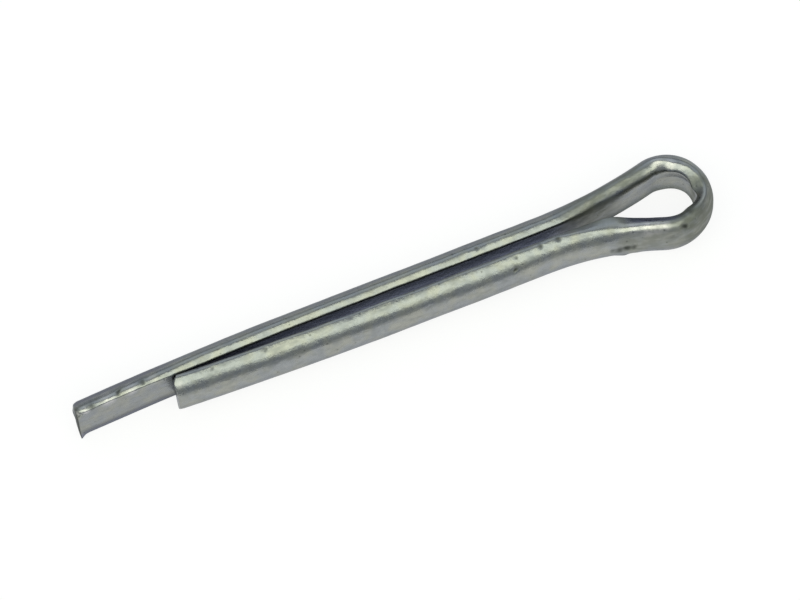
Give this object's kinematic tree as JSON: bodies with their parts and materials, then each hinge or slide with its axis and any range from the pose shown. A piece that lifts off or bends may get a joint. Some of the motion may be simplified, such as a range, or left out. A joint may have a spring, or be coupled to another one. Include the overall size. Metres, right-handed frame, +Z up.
{
  "type": "cotter pin",
  "caption": "Split pin of half-round steel wire folded into a round slotted shank with an eye at the fold and one longer leg, zinc plated.",
  "frame": {"origin": "on the shank's axis, at the neck, where the two straight legs end and the eye begins", "axes": "+X along the shank towards the eye, +Y to the side of the long leg, +Z up, square to the plane of the eye, as the pin lies on its side"},
  "size_m": [0.0537, 0.0078, 0.0042],
  "materials": {
    "zinc_plated_steel": "dull zinc plating over drawn wire, lightly pitted, with bright worn edges and a faint yellow green cast"
  },
  "bodies": {
    "root": {"cotter_pin": "zinc_plated_steel"}
  },
  "joints": []
}
